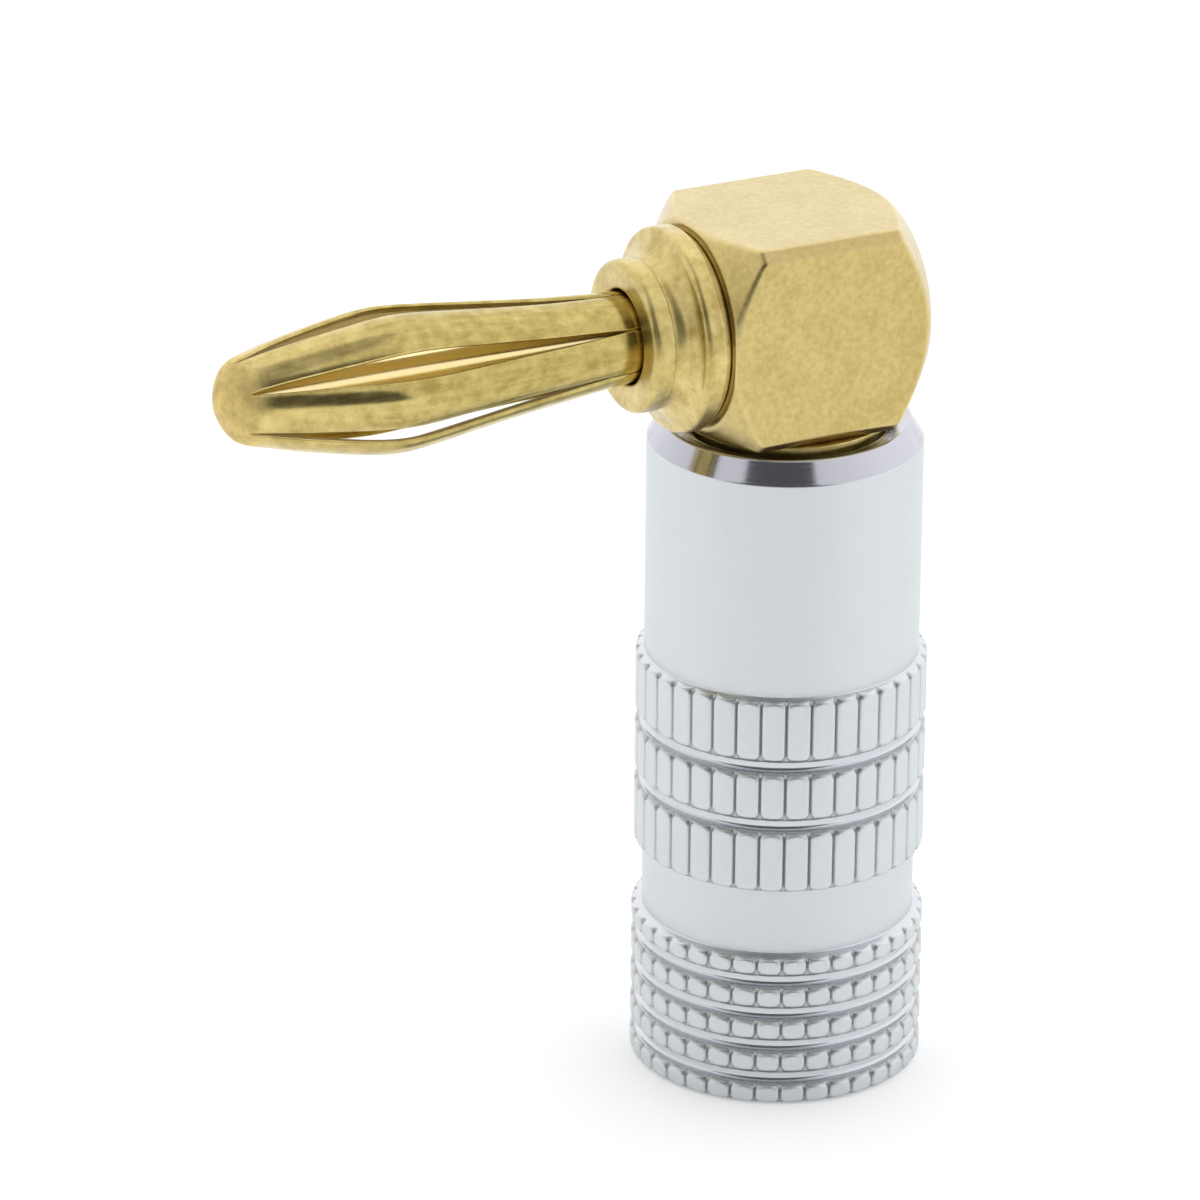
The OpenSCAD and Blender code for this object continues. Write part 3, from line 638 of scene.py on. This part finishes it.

# Satin chrome on brass: a cool pearl grey with a very fine blasted grain. Where the diamond tool cut it the
# metal is a mirror with a faint violet cast and hairline turning marks. Between the teeth of the knurl a
# grey-brown painted shade darkens it, the more the deeper the knurl lies.
satin_chrome, tree = new_material("satin_chrome_on_brass_bright_cut")
bright = add_node(tree, "ShaderNodeAttribute", attribute_name="bright_cut")
outline_mm = add_node(tree, "ShaderNodeAttribute", attribute_name="outline_mm")
place = add_node(tree, "ShaderNodeTexCoord")
grain = add_node(tree, "ShaderNodeTexNoise", {
    "Vector": place.outputs["Object"], "Scale": 1 / (0.12 * MM), "Detail": 2.0})
cloud = add_node(tree, "ShaderNodeTexNoise", {
    "Vector": place.outputs["Object"], "Scale": 1 / (2.2 * MM), "Detail": 3.0})
turning = add_node(tree, "ShaderNodeTexNoise", {
    "W": outline_mm.outputs["Fac"], "Scale": 1 / 0.08, "Detail": 2.0}, noise_dimensions="1D")
pearl = add_node(tree, "ShaderNodeMix", {
    "Factor": cloud.outputs["Fac"], "A": linear("#cdd2d5"), "B": linear("#d2d7da")}, data_type="RGBA")
violet = add_node(tree, "ShaderNodeMath", {0: bright.outputs["Fac"], 1: 4.0}, operation="POWER")
chrome_tone = add_node(tree, "ShaderNodeMix", {
    "Factor": violet.outputs["Value"], "A": pearl.outputs["Result"], "B": linear("#bcbcc5")},
    data_type="RGBA")
# Painted shade between the teeth of the knurl: mixed towards a grey-brown.
grime = add_node(tree, "ShaderNodeAttribute", attribute_name="grime")
knurl_shade_share = add_node(tree, "ShaderNodeMath", {0: grime.outputs["Fac"], 1: 0.45}, operation="MULTIPLY")
chrome_tone = add_node(tree, "ShaderNodeMix", {
    "Factor": knurl_shade_share.outputs["Value"], "A": chrome_tone.outputs["Result"], "B": linear("#7c706c")},
    data_type="RGBA")
blasted = add_node(tree, "ShaderNodeMapRange", {
    "Value": grain.outputs["Fac"], "From Min": 0.3, "From Max": 0.7, "To Min": 0.37, "To Max": 0.45})
cut_polish = add_node(tree, "ShaderNodeMapRange", {
    "Value": turning.outputs["Fac"], "From Min": 0.3, "From Max": 0.7, "To Min": 0.1, "To Max": 0.17})
roughness = add_node(tree, "ShaderNodeMix", {
    "Factor": bright.outputs["Fac"], "A": blasted.outputs["Result"], "B": cut_polish.outputs["Result"]},
    data_type="FLOAT")
satin_only = add_node(tree, "ShaderNodeMath", {
    0: 0.25, 1: bright.outputs["Fac"]}, operation="SUBTRACT", use_clamp=True)
blasting = add_node(tree, "ShaderNodeBump", {
    "Height": grain.outputs["Fac"], "Strength": satin_only.outputs["Value"], "Distance": 0.003 * MM})
shader = add_node(tree, "ShaderNodeBsdfPrincipled", {
    "Base Color": chrome_tone.outputs["Result"], "Metallic": 1.0, "Roughness": roughness.outputs["Result"],
    "Normal": blasting.outputs["Normal"]})
add_node(tree, "ShaderNodeOutputMaterial", {"Surface": shader.outputs["BSDF"]})

outline = broken_corners(SLEEVE_CORNERS, steps=5, margin=0.02)
on_outside = np.minimum(outline[1:, 0], outline[:-1, 0]) > OUTER_LEAST_R
groove_wall = on_outside & (np.abs(np.diff(outline[:, 0])) > 0.05)
outline = closer(outline, np.where(groove_wall, 0.15, 6))
# Extra mesh rows near the ends of the pads hold the shape of their rounded corners.
pad_ends = np.concatenate([pad_rows(FOOT_PADS, FOOT_GROOVES), pad_rows(GRIP_PADS, GRIP_GROOVES)])
end_rows = np.concatenate([pad_ends[:, :1] + PAD_END_ROWS, pad_ends[:, 1:] - PAD_END_ROWS])
end_rows = np.sort(end_rows.ravel())
on_foot = (end_rows > FOOT_FACE[0]) & (end_rows < FOOT_FACE[1])
on_grip = (end_rows > GRIP_FACE[0]) & (end_rows < GRIP_FACE[1])
end_rows = end_rows[on_foot | on_grip]
end_points = np.stack([np.where(end_rows < RINGS_APART, FOOT_R, GRIP_R), end_rows], -1)
outside = outline[:, 0] > OUTER_LEAST_R
spots = np.argmax(outside) + np.searchsorted(outline[outside, 1], end_rows)
outline = np.insert(outline, spots, end_points, axis=0)
tooth_line = np.concatenate([[-TOOTH_HALF], -TOOTH_COLUMNS[::-1], [0], TOOTH_COLUMNS])
angle = (2 * np.pi * np.arange(TEETH)[:, None] / TEETH + tooth_line / GRIP_R).ravel()
across = np.tile(tooth_line, TEETH)
turned_r, height = outline[:, :1], outline[:, 1:]
drop = np.min([pad_drop(across, height, ends) for ends in pad_ends], axis=0)
knurl_r = np.where(height < RINGS_APART, FOOT_R, GRIP_R) - drop
knurled = (turned_r > OUTER_LEAST_R) & (height < KNURL_TOP)
radius = np.where(knurled, np.minimum(turned_r, knurl_r), turned_r)
# The tool left the slopes and the grooves bright, wherever its path lies below the surface of the knurl.
slope = np.abs(np.gradient(outline[:, 0])) / np.maximum(np.hypot(*np.gradient(outline, axis=0).T), 1e-9)
from_groove = np.abs(height - np.array(FOOT_GROOVES + GRIP_GROOVES)).min(axis=1, keepdims=True)
in_groove = (from_groove < GROOVE_MOUTH / 2) & (turned_r > OUTER_LEAST_R)
cut_rows = np.maximum(np.interp(slope, CUT_SLOPE, (0, 1))[:, None], in_groove)
cut_rows *= np.where(height < BEVEL_TOP, GROOVE_SHINE, np.where(height > RIM_TOP, RIM_TOP_SHINE, 1))
off_teeth = np.where(knurled, np.clip((knurl_r - turned_r) / CUT_FADE + 0.5, 0, 1), 1)
# The mark on the knurl between the teeth is painted shade, from none on the pads to full where the knurl lies
# deepest.
add_piece("outer_sleeve_knurled", around_z(radius, angle, height), grid_faces(len(outline), len(angle)),
          satin_chrome, "sleeve", "satin_silver", "outer_sleeve", sharp=60, bright_cut=cut_rows * off_teeth,
          grime=np.where(knurled & (knurl_r < turned_r), drop / KNURL_DEPTH, 0),
          outline_mm=np.repeat(path_length(outline), len(angle)))


# Sleeve thread
# The internal thread at the top of the sleeve's bore, of the same brass, cut before plating. It shows when
# the sleeve is off.

THREAD_CORNERS = [  # radius, height, how far the corner is broken
    (3.97, 22, 0), (3.97, 24.58, 0.02), (3.88, 24.58, 0.02), (3.7, 24.4, 0.02), (3.7, 19.2, 0.02),
    (3.9, 19.02, 0.02), (3.97, 19.02, 0.02), (3.97, 22, 0)]
SLEEVE_THREAD = {"pitch": 0.75, "depth": 0.24, "low": 18.95, "high": 24.65}
THREAD_FACE_R, THREAD_ROOT_R, THREAD_BACK_R = 3.9, 3.96, 3.97
THREAD_SHINE = 0.4

outline = closer(broken_corners(THREAD_CORNERS, margin=0.01), 0.09)
angle = full_turn(144)
radius, height = outline[:, :1], outline[:, 1:]
cut = thread_cut(angle, height, **SLEEVE_THREAD) * (radius < THREAD_FACE_R)
limit = np.where(radius > THREAD_FACE_R, THREAD_BACK_R, THREAD_ROOT_R)
points = around_z(np.minimum(radius + cut, limit), angle, height)
add_piece("sleeve_thread", points, grid_faces(len(outline), len(angle)), satin_chrome,
          "sleeve", "satin_silver", None, bright_cut=np.full(len(points), THREAD_SHINE),
          outline_mm=np.repeat(path_length(outline), len(angle)))


# Studio
# A white floor inside a white light tent. The tent is open towards the camera, and that dark opening shows in
# the bright-cut rim, in the grooves and on the rounded edges of the gold.

FLOOR_REACH, FLOOR_FRONT = 2.0, 0.33  # metres
FLOOR_LIFT = 0.22
TENT_DIM, TENT_BRIGHT = 1.0, 1.33
GLOW_TOWARDS, GLOW_FROM, GLOW_TO = (-0.9, 0.35, 0.0), -0.6, 0.8
OPENING_AZIMUTH, OPENING_HALF_WIDTH, OPENING_TAPER = -31, 1.12, 0.46
OPENING_DARK, OPENING_TOP = 0.87, 1.55
SIDE_SOFT, TOP_SOFT = 0.1, 0.15
CEILING_GREY, CEILING_HALF_WIDTH, CEILING_SOFT = 0.5, 0.33, 0.06
CEILING_RISE, CEILING_BACK = (0.5, 0.7), (-0.12, 0.0)  # where its grey sets in, upwards and forwards
CAMERA_AZIMUTH, CAMERA_ELEVATION, CAMERA_ROLL = -26.2956, 22.9651, 0.5597
CAMERA_DISTANCE, CAMERA_LENS = 315.2946, 260.924
CAMERA_TARGET = np.array([-5.9227, 2.9266, 17.655])

# White painted board: matt, with the least trace of unevenness. A faint glow that only the camera and the
# metal see lifts it to white.
board_white, tree = new_material("white_painted_board")
place = add_node(tree, "ShaderNodeTexCoord")
uneven = add_node(tree, "ShaderNodeTexNoise", {"Vector": place.outputs["Object"], "Scale": 1 / (60 * MM)})
board_tone = add_node(tree, "ShaderNodeMix", {
    "Factor": uneven.outputs["Fac"], "A": linear("#fdfdfd"), "B": linear("#ffffff")}, data_type="RGBA")
matt = add_node(tree, "ShaderNodeBsdfDiffuse", {"Color": board_tone.outputs["Result"]})
seen = add_node(tree, "ShaderNodeLightPath")
direct = add_node(tree, "ShaderNodeMath", {
    0: seen.outputs["Is Camera Ray"], 1: seen.outputs["Is Glossy Ray"]}, operation="MAXIMUM")
direct = add_node(tree, "ShaderNodeMath", {
    0: direct.outputs["Value"], 1: seen.outputs["Is Transmission Ray"]}, operation="MAXIMUM")
lift = add_node(tree, "ShaderNodeMath", {0: direct.outputs["Value"], 1: FLOOR_LIFT}, operation="MULTIPLY")
glow = add_node(tree, "ShaderNodeEmission", {"Color": (1, 1, 1, 1), "Strength": lift.outputs["Value"]})
shader = add_node(tree, "ShaderNodeAddShader", {0: matt.outputs["BSDF"], 1: glow.outputs["Emission"]})
add_node(tree, "ShaderNodeOutputMaterial", {"Surface": shader.outputs["Shader"]})

facing = math.radians(OPENING_AZIMUTH)
to_opening = np.array([math.sin(facing), -math.cos(facing), 0])
to_side = np.array([math.cos(facing), math.sin(facing), 0])
ends = np.array([(FLOOR_FRONT, -FLOOR_REACH), (FLOOR_FRONT, FLOOR_REACH), (-FLOOR_REACH, FLOOR_REACH),
                 (-FLOOR_REACH, -FLOOR_REACH)])
floor_mesh = bpy.data.meshes.new("studio_floor")
floor_mesh.from_pydata((ends[:, :1] * to_opening + ends[:, 1:] * to_side).tolist(), [], [(0, 1, 2, 3)])
floor_mesh.materials.append(board_white)
floor = bpy.data.objects.new("studio_floor", floor_mesh)
bpy.context.scene.collection.objects.link(floor)

# The tent's light is worked out from the direction d: u = sideways / ahead and v = up / ahead, where ahead
# points at the opening. It is dark for |u| and v inside the opening and grey along a strip overhead.
# Elsewhere the cloth is white, and brightest behind the object on the right.
tent = bpy.data.worlds.new("light_tent")
bpy.context.scene.world = tent
tent.use_nodes = True
tree = tent.node_tree
tree.nodes.clear()
place = add_node(tree, "ShaderNodeTexCoord")
turned = add_node(tree, "ShaderNodeVectorRotate", {
    "Vector": place.outputs["Generated"], "Angle": math.radians(90) - facing}, rotation_type="Z_AXIS")
axes = add_node(tree, "ShaderNodeSeparateXYZ", {"Vector": turned.outputs["Vector"]})
ahead = add_node(tree, "ShaderNodeMath", {0: axes.outputs["X"], 1: 0.02}, operation="MAXIMUM")
sideways = add_node(tree, "ShaderNodeMath", {
    0: axes.outputs["Y"], 1: ahead.outputs["Value"]}, operation="DIVIDE")
sideways = add_node(tree, "ShaderNodeMath", {0: sideways.outputs["Value"]}, operation="ABSOLUTE")
upwards = add_node(tree, "ShaderNodeMath", {
    0: axes.outputs["Z"], 1: ahead.outputs["Value"]}, operation="DIVIDE")
rise = add_node(tree, "ShaderNodeMath", {0: upwards.outputs["Value"], 1: OPENING_TOP}, operation="MINIMUM")
tapered = add_node(tree, "ShaderNodeMath", {
    0: rise.outputs["Value"], 1: OPENING_TAPER, 2: sideways.outputs["Value"]}, operation="MULTIPLY_ADD")
in_width = add_node(tree, "ShaderNodeMapRange", {
    "Value": tapered.outputs["Value"], "From Min": OPENING_HALF_WIDTH - SIDE_SOFT,
    "From Max": OPENING_HALF_WIDTH + SIDE_SOFT, "To Min": OPENING_DARK, "To Max": 0.0},
    interpolation_type="SMOOTHSTEP")
in_height = add_node(tree, "ShaderNodeMapRange", {
    "Value": upwards.outputs["Value"], "From Min": OPENING_TOP - TOP_SOFT, "From Max": OPENING_TOP + TOP_SOFT,
    "To Min": 1.0, "To Max": 0.0}, interpolation_type="SMOOTHSTEP")
dark = add_node(tree, "ShaderNodeMath", {
    0: in_width.outputs["Result"], 1: in_height.outputs["Result"]}, operation="MULTIPLY")
off_middle = add_node(tree, "ShaderNodeMath", {0: axes.outputs["Y"]}, operation="ABSOLUTE")
in_strip = add_node(tree, "ShaderNodeMapRange", {
    "Value": off_middle.outputs["Value"], "From Min": CEILING_HALF_WIDTH - CEILING_SOFT,
    "From Max": CEILING_HALF_WIDTH + CEILING_SOFT, "To Min": CEILING_GREY, "To Max": 0.0},
    interpolation_type="SMOOTHSTEP")
overhead = add_node(tree, "ShaderNodeMapRange", {
    "Value": axes.outputs["Z"], "From Min": CEILING_RISE[0], "From Max": CEILING_RISE[1]},
    interpolation_type="SMOOTHSTEP")
forward = add_node(tree, "ShaderNodeMapRange", {
    "Value": axes.outputs["X"], "From Min": CEILING_BACK[0], "From Max": CEILING_BACK[1]},
    interpolation_type="SMOOTHSTEP")
grey = add_node(tree, "ShaderNodeMath", {
    0: in_strip.outputs["Result"], 1: overhead.outputs["Result"]}, operation="MULTIPLY")
grey = add_node(tree, "ShaderNodeMath", {
    0: grey.outputs["Value"], 1: forward.outputs["Result"]}, operation="MULTIPLY")
shade = add_node(tree, "ShaderNodeMath", {
    0: dark.outputs["Value"], 1: grey.outputs["Value"]}, operation="MAXIMUM")
glow = add_node(tree, "ShaderNodeVectorMath", {
    0: turned.outputs["Vector"], 1: GLOW_TOWARDS}, operation="DOT_PRODUCT")
walls = add_node(tree, "ShaderNodeMapRange", {
    "Value": glow.outputs["Value"], "From Min": GLOW_FROM, "From Max": GLOW_TO, "To Min": TENT_DIM,
    "To Max": TENT_BRIGHT}, interpolation_type="SMOOTHSTEP")
light = add_node(tree, "ShaderNodeMix", {
    "Factor": shade.outputs["Value"], "A": walls.outputs["Result"], "B": 0.0}, data_type="FLOAT")
shader = add_node(tree, "ShaderNodeBackground", {
    "Color": (1, 1, 1, 1), "Strength": light.outputs["Result"]})
add_node(tree, "ShaderNodeOutputWorld", {"Surface": shader.outputs["Background"]})

azimuth, elevation, roll = np.radians([CAMERA_AZIMUTH, CAMERA_ELEVATION, CAMERA_ROLL])
ground = np.array([np.sin(azimuth), -np.cos(azimuth), 0])
back = np.cos(elevation) * ground + np.array([0, 0, np.sin(elevation)])
level = np.array([np.cos(azimuth), np.sin(azimuth), 0])
upright = np.cross(back, level)
right = np.cos(roll) * level + np.sin(roll) * upright
up = np.cos(roll) * upright - np.sin(roll) * level
stand = np.eye(4)
stand[:3] = np.stack([right, up, back, (CAMERA_TARGET + CAMERA_DISTANCE * back) * MM], axis=1)
camera_data = bpy.data.cameras.new("photo_camera")
camera_data.sensor_width, camera_data.lens = 36, CAMERA_LENS
camera_data.clip_start, camera_data.clip_end = 0.02, 20
camera = bpy.data.objects.new("photo_camera", camera_data)
camera.matrix_world = Matrix(stand.tolist())
bpy.context.scene.collection.objects.link(camera)
bpy.context.scene.camera = camera
bpy.context.scene.view_settings.view_transform = "Standard"
